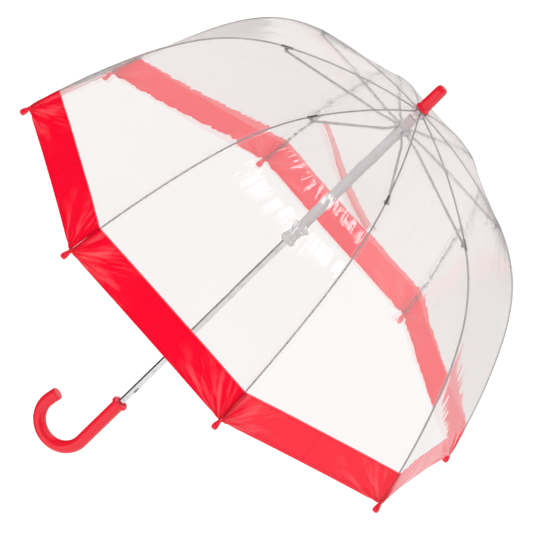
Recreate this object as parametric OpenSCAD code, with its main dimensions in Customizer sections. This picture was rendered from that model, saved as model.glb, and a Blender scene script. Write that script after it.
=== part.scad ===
// Stick umbrella with a clear dome canopy, eight wire ribs and a crook handle.
// Millimetres. Origin at the centre of the grip, +Z along the shaft towards the ferrule.
// The first rib points along -X, and the rest follow every 45 degrees, so rib 5 points along +X.

/* [Shaft and handle] */
// Height of the rim plane of the open canopy above the centre of the grip
rim_h = 264; // [255:1:275]
// Outside radius of the shaft tube
shaft_r = 4; // [3.9:0.05:4]
// Wall of the shaft tube
shaft_wall = 0.5; // [0.4:0.1:0.8]
// Radius of the moulded grip
grip_r = 8.2; // [7.8:0.05:8.5]
// Radius of the crook's centreline
crook_r = 33; // [28:0.5:36]
// Turn of the crook past the straight grip
crook_turn = 190; // [180:1:195]
// Direction of the crook about the shaft
crook_az = 157; // [0:1:359]

/* [Top] */
// Radius of the ferrule's straight body
ferrule_r = 7.4; // [7:0.1:8]
// Length of the ferrule
ferrule_len = 38.7; // [34:0.1:44]
// Radius of the top notch
notch_r = 10; // [9.5:0.1:11]

/* [Ribs] */
// Radius of the rib wire
wire_r = 1; // [0.8:0.05:1]
// Rib length from the notch to the stretcher bracket
rib_len_1 = 170; // [167:0.5:172]
// Rib length from the bracket to the end of the shoulder bend
rib_len_2 = 109; // [107:0.5:111]
// Rib length of the bend below the shoulder
rib_len_3 = 53; // [51:0.5:55]
// Rib length from there to the tip cap
rib_len_4 = 170.5; // [168:0.5:173]

/* [Runner] */
// Outside radius of the long runner tube
runner_r = 6.5; // [6.4:0.1:7]
// Height of the runner's star head above the rim plane
head_z = 287.5; // [286:0.5:289]
// Height of the runner's lower edge above the rim plane
collar_z = 81.8; // [78:0.1:86]

/* [Canopy] */
// Thickness of the film
film_t = 0.4; // [0.3:0.1:0.7]
// Width of the coloured border along the ribs
border_w = 45; // [38:1:55]

/* [Hidden] */
$fn = 48;
ribs = 8;
pitch = 360 / ribs;
half = pitch / 2;
slack = 0.3;              // clearance between pieces that move past each other
fit = 0.05;               // clearance between pieces that are pushed together
swage = 0.05;             // how much a splice stands proud of the wire
splice_len = 2;
over = 1;                 // cutting shapes run past what they cut by this

// Rib curve: slopes in degrees at the start of each arc and at the tip
slope_0 = -7;
slope_1 = -24;
slope_f = -41;            // slope at the flexing shoulder
slope_2 = -54;
slope_3 = -63;
slope_4 = -76;
len_2a = rib_len_2 * (slope_1 - slope_f) / (slope_1 - slope_2);
len_2b = rib_len_2 - len_2a;

// Radius of an arc of that length which turns from slope a to slope b
function arc_r(len, a, b) = len * 180 / (PI * (a - b));
// End of the arc that starts at p
function arc_end(p, len, a, b) =
    let (q = arc_r(len, a, b)) [p[0] + q * (sin(a) - sin(b)), p[1] - q * (cos(a) - cos(b))];
// Point on the arc at slope t, pushed out of the dome by off
function arc_at(p, len, a, b, t, off) =
    let (q = arc_r(len, a, b))
    [p[0] + q * sin(a) - (q + off) * sin(t), p[1] - q * cos(a) + (q + off) * cos(t)];
// Points at n + 1 even steps along the arc, from share u0 to share u1 of it
function arc_row(p, len, a, b, off, u0, u1, n) =
    [for (i = [0 : n]) arc_at(p, len, a, b, a + (b - a) * (u0 + (u1 - u0) * i / n), off)];
// The n points after the start of the arc, which the arc before it ends on
function arc_next(p, len, a, b, off, u1, n) =
    [for (i = [1 : n]) arc_at(p, len, a, b, a + (b - a) * u1 * i / n, off)];

hinge_r = 7;              // radius of the ring that the ribs hang on
hinge_z = rim_h + 318.5;
p0 = [hinge_r, hinge_z];
p1 = arc_end(p0, rib_len_1, slope_0, slope_1);
pf = arc_end(p1, len_2a, slope_1, slope_f);
p2 = arc_end(pf, len_2b, slope_f, slope_2);
p3 = arc_end(p2, rib_len_3, slope_2, slope_3);
p4 = arc_end(p3, rib_len_4, slope_3, slope_4);

// Hinge eyes on a wire ring
ring_r = 0.5;             // radius of the ring's wire
eye_r = 1.5;
eye_hole = 0.65;
eye_w = 2.2;
slot_w = eye_w + 2 * slack;

// Stretcher bracket
sleeve_r = 1.7;
sleeve_len = 15;
tab_drop = 3.5;           // rivet below the rib
tab_w = 4;
tab_t = 1.6;
lug_r = 2.2;
rivet_r = 0.9;
rivet_end = 2;            // how far the rivet stands out sideways
pivot = [p1[0] + tab_drop * sin(slope_1), p1[1] - tab_drop * cos(slope_1)];

// Stretchers
star_ring = 9;            // radius of the runner's wire ring
star_z = rim_h + head_z;
stretch_len = norm(pivot - [star_ring, star_z]);
stretch_tilt = atan2(pivot[1] - star_z, pivot[0] - star_ring);
chan_w = 2.6;
chan_h = 2.4;
chan_y = rivet_end + slack + chan_w / 2;
joggle_from = 6;
joggle_to = 30;
groove_w = 1.4;
groove_from = joggle_to + 2;
groove_d = 1.6;
end_plate = 6;            // flat end round the rivet's eye
rivet_eye = 2;

// Flexing shoulder of the rib wire
ball_r = 1.1;
ball_gap = 1.4;           // from the ball's centre to the end of the wire above it
slope_cut = slope_f + (slope_1 - slope_f) * ball_gap / len_2a;

// Tip caps
cap_len = 12;
cap_back = 4;             // how far the cap reaches back over the wire
cap_r0 = 2.8;
cap_r1 = 4;
cap_bore = wire_r + 2 * swage;
cap_depth = 6;

// Film
lift = 2.3;               // film above the rib's centreline
seam = 0.2;               // half of the gap between neighbouring sectors
crown_z = rim_h + 322.4;  // film where it is clamped under the ferrule
crown_r = 5.2;
clamp_r = 10.5;
film_from = 20;           // rib length at which the film joins the dome

// Top
notch_z = rim_h + 315;
notch_h = 7;
ferrule_z = rim_h + 323.3;
ferrule_grip = 28;        // length of the shaft inside the ferrule
ferrule_bore = 30;
flange_r = 9;
flange_h = 3;
round_r = 3.5;

// Runner
tube_bore = 5.3;
bearing_r = shaft_r + 2 * fit;
bearing_len = 10;
star_r = 12;
star_h = 6;
runner_top = rim_h + 308;
low = rim_h + collar_z;
skirt_r = 10;
waist_r = 7.6;
thumb_r = 12;
skirt_h = 3.2;
waist_from = 8;
waist_to = 20;
thumb_from = 23;
thumb_to = 25;
collar_len = 26.5;
keyway_w = 3.2;
keyway_r = 5.7;
window_from = 11;
window_to = 20;

// Catches
travel = 296;             // of the runner, from open to closed
catch_az = -60;
catch_w = 2.2;
leaf_r = 1.7;
leaf_t = 0.8;
leaf_back = 14;           // leaf below the nose
leaf_over = 3;            // leaf above the nose
nose_r = 5.2;
nose_from = 12;
nose_to = 19;
nose_slope = 2.4;
slot_more = 1;            // slot past the nose at each end

// Handle
ring_z = rim_h - 226;     // top of the handle's ring
handle_ring_r = 10.6;
handle_ring_h = 5;
recess_r = 6.2;
recess_d = 2;
bend_z = rim_h - 302;
socket_end = rim_h - 291; // bottom of the handle's socket
shaft_end = rim_h - 290;
tip_run = 14;             // straight end of the crook
tip_round = 2.2;          // rounding of its flat end

// Tie strap, sewn to the border's top edge and lying on the outside of the film
strap_gore = 6;           // lies between this rib and the next
strap_path = [[-33.5, 46], [38, 59], [63, 89], [110.5, 107]]; // [across, above the tips]
strap_w0 = 11;            // at its root
strap_w1 = 8;             // at its free end
strap_t = 0.8;
strap_gap = 0.5;          // off the film
strap_steps = 10;

chrome = [0.78, 0.79, 0.8];
steel = [0.55, 0.53, 0.53];
red = [0.85, 0.03, 0.13];
clear_film = [0.93, 0.94, 0.95, 0.3];
milky = [0.9, 0.91, 0.92, 0.75];

// Which sub-part to draw

// ---------- shared shapes ----------

function rib_az(k) = 180 + pitch * (k - 1);

// Turns a shape drawn along +X, in the XZ plane, to rib k
module at_rib(k) {
    rotate([0, 0, rib_az(k)]) children();
}

// Wire along one arc of the rib
module wire_arc(p, len, a, b) {
    q = arc_r(len, a, b);
    translate([p[0] + q * sin(a), 0, p[1] - q * cos(a)])
        rotate([90, 0, 0])
            rotate([0, 0, b + 90])
                rotate_extrude(angle = a - b, $fn = 96)
                    translate([q, 0]) circle(r = wire_r, $fn = 24);
}

// Short swage over the meeting of two arcs, which makes them one wire
module splice(p, a) {
    on_slope(p, a) rotate([0, 90, 0])
        cylinder(r = wire_r + swage, h = splice_len, center = true);
}

// Puts children at point p of the rib's plane with +X along slope a
module on_slope(p, a) {
    translate([p[0], 0, p[1]]) rotate([0, -a, 0]) children();
}

// Cylinder along Y, centred
module cross_pin(r, w) {
    rotate([90, 0, 0]) cylinder(r = r, h = w, center = true);
}

// Ring of round wire about the shaft
module ring(r, wire, z) {
    translate([0, 0, z]) rotate_extrude($fn = 96) translate([r, 0]) circle(r = wire, $fn = 24);
}

// Slots for the eyes, open outwards
module eye_slots(from, to, z, h) {
    for (k = [1 : ribs])
        at_rib(k) translate([from, -slot_w / 2, z]) cube([to - from, slot_w, h]);
}

// One bent sector of film, centred on a rib: rows of [radius, height] inside and outside
module sector(inner, outer) {
    n = len(inner);
    c = cos(half);
    s = sin(half);
    // columns: left seam, rib, right seam
    function col(p, side) = side == 0 ? [p[0], 0, p[1]]
        : [p[0] * c * c + seam * s, side * (p[0] * c * s - seam * c), p[1]];
    pts = concat(
        [for (p = inner) for (side = [-1 : 1]) col(p, side)],
        [for (p = outer) for (side = [-1 : 1]) col(p, side)]);
    o = 3 * n;
    skin = [for (i = [0 : n - 2]) for (j = [0 : 1])
        [3 * i + j, 3 * i + j + 1, 3 * i + j + 4, 3 * i + j + 3]];
    tri_in = [for (f = skin) each [[f[0], f[1], f[2]], [f[0], f[2], f[3]]]];
    tri_out = [for (f = skin) each
        [[f[1] + o, f[0] + o, f[2] + o], [f[2] + o, f[0] + o, f[3] + o]]];
    sides = [for (i = [0 : n - 2]) each [
        [3 * i, 3 * i + 3, 3 * i + o], [3 * i + 3, 3 * i + 3 + o, 3 * i + o],
        [3 * i + 5, 3 * i + 2, 3 * i + 2 + o], [3 * i + 5, 3 * i + 2 + o, 3 * i + 5 + o]]];
    e = 3 * n - 3;
    ends = [for (j = [0 : 1]) each [
        [j + 1, j, j + o], [j + 1, j + o, j + 1 + o],
        [e + j, e + j + 1, e + j + o], [e + j + 1, e + j + 1 + o, e + j + o]]];
    // faces above turn anticlockwise seen from outside, and polyhedron() wants clockwise
    polyhedron(pts, [for (f = concat(tri_in, tri_out, sides, ends)) [f[0], f[2], f[1]]],
               convexity = 4);
}

// ---------- root ----------

module shaft() {
    top = ferrule_z + ferrule_grip;
    color(chrome)
    difference() {
        translate([0, 0, shaft_end]) cylinder(r = shaft_r, h = top - shaft_end);
        translate([0, 0, shaft_end - over])
            cylinder(r = shaft_r - shaft_wall, h = top - shaft_end + 2 * over);
        for (z = [low, low - travel])
            rotate([0, 0, catch_az])
                translate([0, -(catch_w + slack) / 2, z + nose_from - slot_more])
                    cube([shaft_r + over, catch_w + slack, nose_to - nose_from + 2 * slot_more]);
    }
}

module handle() {
    bend_x = crook_r * (1 - cos(crook_turn));
    bend_up = -crook_r * sin(crook_turn);
    tip_r = grip_r + swage;
    color(red)
    difference() {
        rotate([0, 0, crook_az]) {
            // grip and ring
            translate([0, 0, bend_z - splice_len / 2])
                cylinder(r = grip_r + swage, h = ring_z - bend_z);
            translate([0, 0, ring_z - handle_ring_h / 2])
                cylinder(r = handle_ring_r - handle_ring_h / 2, h = handle_ring_h, center = true);
            ring(handle_ring_r - handle_ring_h / 2, handle_ring_h / 2, ring_z - handle_ring_h / 2);
            // crook
            translate([crook_r, 0, bend_z]) rotate([90, 0, 0]) rotate([0, 0, 180])
                rotate_extrude(angle = crook_turn, $fn = 96)
                    translate([crook_r, 0]) circle(r = grip_r, $fn = 48);
            translate([bend_x, 0, bend_z + bend_up]) rotate([0, 180 - crook_turn, 0]) {
                translate([0, 0, -splice_len / 2])
                    cylinder(r = tip_r, h = tip_run - tip_round + splice_len / 2);
                translate([0, 0, splice_len])
                    cylinder(r = tip_r - tip_round, h = tip_run - splice_len);
                ring(tip_r - tip_round, tip_round, tip_run - tip_round);
            }
        }
        translate([0, 0, socket_end]) cylinder(r = shaft_r + fit, h = ring_z - socket_end + over);
        translate([0, 0, ring_z - recess_d]) cylinder(r = recess_r, h = recess_d + over);
    }
}

module ferrule() {
    color(red)
    difference() {
        union() {
            translate([0, 0, ferrule_z]) cylinder(r = flange_r, h = flange_h);
            translate([0, 0, ferrule_z])
                cylinder(r = ferrule_r, h = ferrule_len - round_r);
            translate([0, 0, ferrule_z + flange_h])
                cylinder(r = ferrule_r - round_r, h = ferrule_len - flange_h);
            ring(ferrule_r - round_r, round_r, ferrule_z + ferrule_len - round_r);
        }
        translate([0, 0, ferrule_z - over]) cylinder(r = shaft_r + fit, h = ferrule_bore + over);
    }
}

module top_notch() {
    color(milky)
    difference() {
        translate([0, 0, notch_z]) cylinder(r = notch_r, h = notch_h);
        translate([0, 0, notch_z - over])
            cylinder(r = shaft_r + fit, h = notch_h + 2 * over);
        eye_slots(hinge_r - eye_r - slack, notch_r + over, notch_z - over, notch_h + 2 * over);
        ring(hinge_r, ring_r + 2 * fit, hinge_z);
    }
}

module notch_wire() {
    color(steel) ring(hinge_r, ring_r, hinge_z);
}

// ---------- runner ----------

module runner() {
    color(milky)
    difference() {
        union() {
            translate([0, 0, low]) cylinder(r = runner_r, h = runner_top - low);
            // spool collar
            translate([0, 0, low]) cylinder(r = skirt_r, h = skirt_h);
            translate([0, 0, low + skirt_h])
                cylinder(r1 = skirt_r, r2 = waist_r, h = waist_from - skirt_h);
            translate([0, 0, low + waist_from]) cylinder(r = waist_r, h = waist_to - waist_from);
            translate([0, 0, low + waist_to])
                cylinder(r1 = waist_r, r2 = thumb_r, h = thumb_from - waist_to);
            translate([0, 0, low + thumb_from]) cylinder(r = thumb_r, h = thumb_to - thumb_from);
            translate([0, 0, low + thumb_to])
                cylinder(r1 = thumb_r, r2 = waist_r, h = collar_len - thumb_to);
            // star head
            translate([0, 0, star_z - star_h / 2]) cylinder(r = star_r, h = star_h);
        }
        translate([0, 0, low - over]) cylinder(r = bearing_r, h = runner_top - low + 2 * over);
        translate([0, 0, low + bearing_len])
            cylinder(r = tube_bore, h = star_z - bearing_len / 2 - low - bearing_len);
        eye_slots(star_ring - eye_r - slack, star_r + over, star_z - star_h, 2 * star_h);
        ring(star_ring, ring_r + 2 * fit, star_z);
        // keyway over the catches, and the window that they spring into
        rotate([0, 0, catch_az]) {
            translate([0, -keyway_w / 2, low - over])
                cube([keyway_r, keyway_w, runner_top - low + 2 * over]);
            translate([0, -keyway_w / 2, low + window_from])
                cube([thumb_r, keyway_w, window_to - window_from]);
        }
    }
}

module runner_wire() {
    color(steel) ring(star_ring, ring_r, star_z);
}

// ---------- catches ----------

// Sprung leaf inside the shaft with a nose through its slot
module spring_catch(z) {
    color(steel)
    rotate([0, 0, catch_az])
        translate([0, catch_w / 2, z])
            rotate([90, 0, 0])
                linear_extrude(catch_w)
                    polygon([
                        [leaf_r - leaf_t, nose_from - leaf_back],
                        [leaf_r, nose_from - leaf_back],
                        [leaf_r, nose_from],
                        [nose_r - leaf_t, nose_from],
                        [nose_r, nose_from + leaf_t],
                        [nose_r, nose_to - nose_slope],
                        [shaft_r - shaft_wall, nose_to],
                        [leaf_r, nose_to],
                        [leaf_r, nose_to + leaf_over],
                        [leaf_r - leaf_t, nose_to + leaf_over]]);
}

module upper_catch() {
    spring_catch(low);
}

module lower_catch() {
    spring_catch(low - travel);
}

// ---------- ribs ----------

// Upper part of a rib: eye, wire and the crimped stretcher bracket
module rib_inner(k) {
    color(steel)
    at_rib(k)
    difference() {
        union() {
            wire_arc(p0, rib_len_1, slope_0, slope_1);
            wire_arc(p1, len_2a - ball_gap, slope_1, slope_cut);
            on_slope(p0, slope_0) cross_pin(eye_r, eye_w);
            on_slope(p1, slope_1) {
                rotate([0, 90, 0]) cylinder(r = sleeve_r, h = sleeve_len, center = true);
                translate([-tab_w / 2, -tab_t / 2, -tab_drop])
                    cube([tab_w, tab_t, tab_drop]);
                translate([0, 0, -tab_drop]) cross_pin(lug_r, tab_t);
                translate([0, rivet_end / 2, -tab_drop]) cross_pin(rivet_r, rivet_end);
            }
        }
        on_slope(p0, slope_0) cross_pin(eye_hole, eye_w + over);
    }
}

// Lower part of a rib, from the flexing shoulder into the tip cap
module rib_outer(k) {
    color(steel)
    at_rib(k) {
        on_slope(pf, slope_f) sphere(r = ball_r);
        wire_arc(pf, len_2b, slope_f, slope_2);
        wire_arc(p2, rib_len_3, slope_2, slope_3);
        wire_arc(p3, rib_len_4, slope_3, slope_4);
        splice(p2, slope_2);
        splice(p3, slope_3);
        on_slope(p4, slope_4) rotate([0, 90, 0]) translate([0, 0, -splice_len])
            cylinder(r = wire_r + swage, h = cap_depth - slack + splice_len);
    }
}

// Stretcher from the runner's star head to a rib's bracket, joggled clear of the rib
module stretcher(k) {
    side = chan_y;
    run = joggle_to - joggle_from;
    color(steel)
    at_rib(k)
    translate([star_ring, 0, star_z])
    rotate([0, -stretch_tilt, 0])
    difference() {
        union() {
            cross_pin(eye_r, eye_w);
            translate([0, -eye_w / 2, -chan_h / 2])
                cube([joggle_from, eye_w, chan_h]);
            translate([joggle_from, 0, 0]) rotate([0, 0, atan2(side, run)])
                translate([-splice_len / 4, -eye_w / 2, -chan_h / 2])
                    cube([norm([side, run]) + splice_len / 2, eye_w, chan_h]);
            translate([joggle_to - splice_len / 2, side - chan_w / 2, -chan_h / 2])
                cube([stretch_len - joggle_to + splice_len / 2, chan_w, chan_h]);
            translate([stretch_len, side, 0]) cross_pin(rivet_eye, chan_w);
        }
        cross_pin(eye_hole, eye_w + over);
        translate([stretch_len, side, 0]) cross_pin(rivet_r + fit, chan_w + over);
        translate([groove_from, side - groove_w / 2, -chan_h])
            cube([stretch_len - end_plate - groove_from, groove_w, chan_h / 2 + groove_d]);
    }
}

// ---------- canopy ----------

// Rows of [radius, height] down the rib, at a distance off from its centreline
function upper_rows(off) = concat(
    arc_row(p0, rib_len_1, slope_0, slope_1, off, film_from / rib_len_1, 1, 6),
    arc_next(p1, len_2a, slope_1, slope_f, off, 1 - slack / len_2a, 3));
function lower_rows(off) = concat(
    arc_row(pf, len_2b, slope_f, slope_2, off, slack / len_2b, 1, 2),
    arc_next(p2, rib_len_3, slope_2, slope_3, off, 1, 2),
    arc_next(p3, rib_len_4, slope_3, slope_4, off, 1 - border_w / rib_len_4, 5));
function border_rows(off) =
    arc_row(p3, rib_len_4, slope_3, slope_4, off, 1 - (border_w - slack) / rib_len_4, 1, 3);
// The film under the ferrule is clamped flat
function crown_rows(z) = [[crown_r, z], [clamp_r, z]];

module canopy_upper(k) {
    color(clear_film) at_rib(k)
        sector(concat(crown_rows(crown_z), upper_rows(lift)),
               concat(crown_rows(crown_z + film_t), upper_rows(lift + film_t)));
}

module canopy_lower(k) {
    color(clear_film) at_rib(k) sector(lower_rows(lift), lower_rows(lift + film_t));
}

// Tip cap that holds the border's corner and takes the end of the wire
module tip_cap() {
    on_slope(p4, slope_4) rotate([0, 90, 0])
    difference() {
        union() {
            translate([0, 0, -cap_back])
                cylinder(r1 = cap_r0, r2 = cap_r1, h = cap_back + cap_len - cap_r1);
            translate([0, 0, cap_len - cap_r1]) sphere(r = cap_r1);
        }
        translate([0, 0, -cap_back - over]) cylinder(r = cap_bore, h = cap_back + over + cap_depth);
    }
}

// Border sector with the cap that is fixed to its corner
module border(k) {
    color(red) at_rib(k) {
        difference() {
            sector(border_rows(lift), border_rows(lift + film_t));
            on_slope(p4, slope_4) rotate([0, 90, 0]) translate([0, 0, -cap_back - slack])
                cylinder(r = cap_r1, h = 2 * cap_len);
        }
        tip_cap();
    }
}

// Point u of the strap's middle line, and the way that it runs there
function strap_at(u) = let (c = strap_path, v = 1 - u)
    v * v * v * c[0] + 3 * u * v * v * c[1] + 3 * u * u * v * c[2] + u * u * u * c[3];
function strap_way(u) = let (c = strap_path, v = 1 - u,
    d = v * v * (c[1] - c[0]) + 2 * u * v * (c[2] - c[1]) + u * u * (c[3] - c[2])) d / norm(d);
// Point of the flat gore, across from its middle and above the tips
function on_gore(q, off) =
    let (t = slope_4 + (slope_3 - slope_4) * q[1] / rib_len_4,
         p = arc_at(p3, rib_len_4, slope_3, slope_4, t, off))
    [p[0] * cos(half), q[0], p[1]];

module tie_strap() {
    low_side = lift + film_t + strap_gap;
    pts = [for (i = [0 : strap_steps])
        let (u = i / strap_steps, m = strap_at(u), d = strap_way(u),
             w = (strap_w0 + (strap_w1 - strap_w0) * u) / 2)
        for (off = [low_side, low_side + strap_t]) for (side = [-1, 1])
            on_gore(m + side * w * [-d[1], d[0]], off)];
    loop = [0, 1, 3, 2];
    walls = [for (i = [0 : strap_steps - 1]) for (j = [0 : 3])
        let (a = 4 * i + loop[j], b = 4 * i + loop[(j + 1) % 4])
            each [[a, b, a + 4], [b, b + 4, a + 4]]];
    n = 4 * strap_steps;
    ends = [[0, 2, 1], [1, 2, 3], [n, n + 1, n + 2], [n + 1, n + 3, n + 2]];
    color(red)
    rotate([0, 0, rib_az(strap_gore) + half])
        polyhedron(pts, concat(walls, ends), convexity = 4);
}

// ---------- the sub-parts ----------

module rib_inner_1() { rib_inner(1); }
module rib_inner_2() { rib_inner(2); }
module rib_inner_3() { rib_inner(3); }
module rib_inner_4() { rib_inner(4); }
module rib_inner_5() { rib_inner(5); }
module rib_inner_6() { rib_inner(6); }
module rib_inner_7() { rib_inner(7); }
module rib_inner_8() { rib_inner(8); }

module rib_outer_1() { rib_outer(1); }
module rib_outer_2() { rib_outer(2); }
module rib_outer_3() { rib_outer(3); }
module rib_outer_4() { rib_outer(4); }
module rib_outer_5() { rib_outer(5); }
module rib_outer_6() { rib_outer(6); }
module rib_outer_7() { rib_outer(7); }
module rib_outer_8() { rib_outer(8); }

module stretcher_1() { stretcher(1); }
module stretcher_2() { stretcher(2); }
module stretcher_3() { stretcher(3); }
module stretcher_4() { stretcher(4); }
module stretcher_5() { stretcher(5); }
module stretcher_6() { stretcher(6); }
module stretcher_7() { stretcher(7); }
module stretcher_8() { stretcher(8); }

module canopy_upper_1() { canopy_upper(1); }
module canopy_upper_2() { canopy_upper(2); }
module canopy_upper_3() { canopy_upper(3); }
module canopy_upper_4() { canopy_upper(4); }
module canopy_upper_5() { canopy_upper(5); }
module canopy_upper_6() { canopy_upper(6); }
module canopy_upper_7() { canopy_upper(7); }
module canopy_upper_8() { canopy_upper(8); }

module canopy_lower_1() { canopy_lower(1); }
module canopy_lower_2() { canopy_lower(2); }
module canopy_lower_3() { canopy_lower(3); }
module canopy_lower_4() { canopy_lower(4); }
module canopy_lower_5() { canopy_lower(5); }
module canopy_lower_6() { canopy_lower(6); }
module canopy_lower_7() { canopy_lower(7); }
module canopy_lower_8() { canopy_lower(8); }

module border_1() { border(1); }
module border_2() { border(2); }
module border_3() { border(3); }
module border_4() { border(4); }
module border_5() { border(5); }
module border_6() { border(6); }
module border_7() { border(7); }
module border_8() { border(8); }

shaft();
handle();
ferrule();
top_notch();
notch_wire();
runner();
runner_wire();
upper_catch();
lower_catch();
tie_strap();
rib_inner_1();
rib_inner_2();
rib_inner_3();
rib_inner_4();
rib_inner_5();
rib_inner_6();
rib_inner_7();
rib_inner_8();
rib_outer_1();
rib_outer_2();
rib_outer_3();
rib_outer_4();
rib_outer_5();
rib_outer_6();
rib_outer_7();
rib_outer_8();
stretcher_1();
stretcher_2();
stretcher_3();
stretcher_4();
stretcher_5();
stretcher_6();
stretcher_7();
stretcher_8();
canopy_upper_1();
canopy_upper_2();
canopy_upper_3();
canopy_upper_4();
canopy_upper_5();
canopy_upper_6();
canopy_upper_7();
canopy_upper_8();
canopy_lower_1();
canopy_lower_2();
canopy_lower_3();
canopy_lower_4();
canopy_lower_5();
canopy_lower_6();
canopy_lower_7();
canopy_lower_8();
border_1();
border_2();
border_3();
border_4();
border_5();
border_6();
border_7();
border_8();
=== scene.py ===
import math

import bmesh
import bpy
import numpy as np
from mathutils import Matrix, Vector


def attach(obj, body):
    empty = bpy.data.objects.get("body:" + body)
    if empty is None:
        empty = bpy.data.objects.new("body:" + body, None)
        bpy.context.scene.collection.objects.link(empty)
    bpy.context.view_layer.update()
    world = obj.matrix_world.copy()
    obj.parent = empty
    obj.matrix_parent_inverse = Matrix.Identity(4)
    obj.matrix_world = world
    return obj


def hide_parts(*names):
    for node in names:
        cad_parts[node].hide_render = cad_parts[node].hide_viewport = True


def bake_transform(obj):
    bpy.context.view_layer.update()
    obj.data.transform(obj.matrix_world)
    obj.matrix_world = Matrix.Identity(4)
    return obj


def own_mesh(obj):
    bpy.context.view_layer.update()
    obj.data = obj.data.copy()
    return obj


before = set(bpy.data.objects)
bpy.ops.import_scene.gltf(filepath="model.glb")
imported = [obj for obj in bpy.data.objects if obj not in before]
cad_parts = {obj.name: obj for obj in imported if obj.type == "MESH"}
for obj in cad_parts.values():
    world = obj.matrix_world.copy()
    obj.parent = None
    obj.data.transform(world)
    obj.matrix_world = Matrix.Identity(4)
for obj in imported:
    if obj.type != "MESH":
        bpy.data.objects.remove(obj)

scene = bpy.context.scene
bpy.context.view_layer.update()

# ---------------------------------------------------------------- rib curve, as in part.scad
RIM = 0.264  # height of the rim
PITCH, HALF = math.radians(45), math.radians(22.5)  # from rib to rib, and from rib to mid-gore
SLOPES = [-7, -24, -41, -54, -63, -76]  # degrees, at the ends of the arcs
LEN_2 = 0.109
LENS = [0.170, LEN_2 * 17 / 30, LEN_2 * 13 / 30, 0.053, 0.1705]
STARTS = np.concatenate([[0], np.cumsum(LENS)])
RIB = STARTS[-1]
S_BRACKET, S_FLEX = STARTS[1], STARTS[2]
HINGE = (0.007, RIM + 0.3185)  # the rib's eye on the notch wire
BORDER = 0.045


def arc_end(p, n, a, b):
    q = n / math.radians(a - b)
    a, b = math.radians(a), math.radians(b)
    return p[0] + q * (math.sin(a) - math.sin(b)), p[1] - q * (math.cos(a) - math.cos(b))


KNOTS = [HINGE]
for i, n in enumerate(LENS):
    KNOTS.append(arc_end(KNOTS[-1], n, SLOPES[i], SLOPES[i + 1]))


def rib_rz(s, off=0.0):
    """Radius, height and slope of the rib at length s, pushed out of the dome by off."""
    s = np.atleast_1d(np.asarray(s, float))
    i = np.clip(np.searchsorted(STARTS, s, side="right") - 1, 0, len(LENS) - 1)
    a = np.radians(np.array(SLOPES)[i])
    q = np.array(LENS)[i] / (a - np.radians(np.array(SLOPES)[i + 1]))
    t = a - (s - STARTS[i]) / q
    k = np.array(KNOTS)[i]
    r = k[..., 0] + q * np.sin(a) - (q + off) * np.sin(t)
    z = k[..., 1] - q * np.cos(a) + (q + off) * np.cos(t)
    return r, z, t


def rib_at(s, off=0.0):
    """What rib_rz gives for one length, as plain numbers."""
    return tuple(float(x[0]) for x in rib_rz(s, off))


LIFT = 0.0019  # film above the wire's centre line
CROWN = (0.0046, RIM + 0.3226)  # where the film is clamped
S_JOIN = 0.026  # rib length where it comes down onto the rib
GATHER = RIB + 0.004  # point that the film's gathers fan out from


def film_rz(s):
    """Profile of the film over a rib: clamped flat under the ferrule, then lying on the rib."""
    s = np.asarray(s, float)
    r, z, _ = rib_rz(s, LIFT)
    r1, z1, t1 = rib_at(S_JOIN, LIFT)
    u = np.clip(s / S_JOIN, 0, 1)
    h00, h11 = 2 * u**3 - 3 * u**2 + 1, u**3 - u**2
    span = r1 - CROWN[0]
    rr = CROWN[0] + span * u
    zz = h00 * CROWN[1] + (1 - h00) * z1 + h11 * math.tan(t1) * span
    inside = s < S_JOIN
    return np.where(inside, rr, r), np.where(inside, zz, z)


def rib_az(k):
    return math.pi + PITCH * (k - 1)


def on_slope(p, a):
    """Puts a piece at p = (r, z) in the XZ plane, turned up by the angle a."""
    return Matrix.Translation((p[0], 0, p[1])) @ Matrix.Rotation(-a, 4, "Y")


def at_rib(k):
    return Matrix.Rotation(rib_az(k), 4, "Z")


LYING = Matrix.Rotation(math.pi / 2, 4, "X")  # a lathe's axis from Z to -Y
LYING_BACK = Matrix.Rotation(-math.pi / 2, 4, "X")


class Build:
    """Gathers parts of one piece: vertices, faces, a material number for each face, and UVs."""

    def __init__(self):
        self.v, self.f, self.m, self.uv = [], [], [], []

    def add(self, v, f, m=0, at=None, uv=None):
        v = np.asarray(v, float).reshape(-1, 3)
        if at is not None:
            w = np.array(at, float)
            v = v @ w[:3, :3].T + w[:3, 3]
        n = len(self.v)
        self.v += v.tolist()
        self.f += [tuple(i + n for i in x) for x in f]
        self.m += [m] * len(f)
        self.uv += uv if uv is not None else [(0.0, 0.0)] * len(v)
        return self

    def make(self, name, mats, sharp=40, normals=None):
        me = bpy.data.meshes.new(name)
        me.from_pydata(self.v, [], self.f)
        for m in mats:
            me.materials.append(m)
        me.polygons.foreach_set("material_index", self.m)
        layer = me.uv_layers.new(name="span")
        where = np.zeros(len(me.loops), np.int32)
        me.loops.foreach_get("vertex_index", where)
        layer.data.foreach_set("uv", np.array(self.uv, np.float32)[where].ravel())
        me.validate()
        me.shade_smooth()
        if sharp:
            me.set_sharp_from_angle(angle=math.radians(sharp))
        if normals is not None:
            me.normals_split_custom_set_from_vertices(normals)
        o = bpy.data.objects.new(name, me)
        scene.collection.objects.link(o)
        return o


def grid(n, m, wrap=False):
    """Quads between n rows of m points. wrap joins each row's last point to its first."""
    return [(i * m + j, i * m + (j + 1) % m, (i + 1) * m + (j + 1) % m, (i + 1) * m + j)
            for i in range(n - 1) for j in range(m if wrap else m - 1)]


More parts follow.
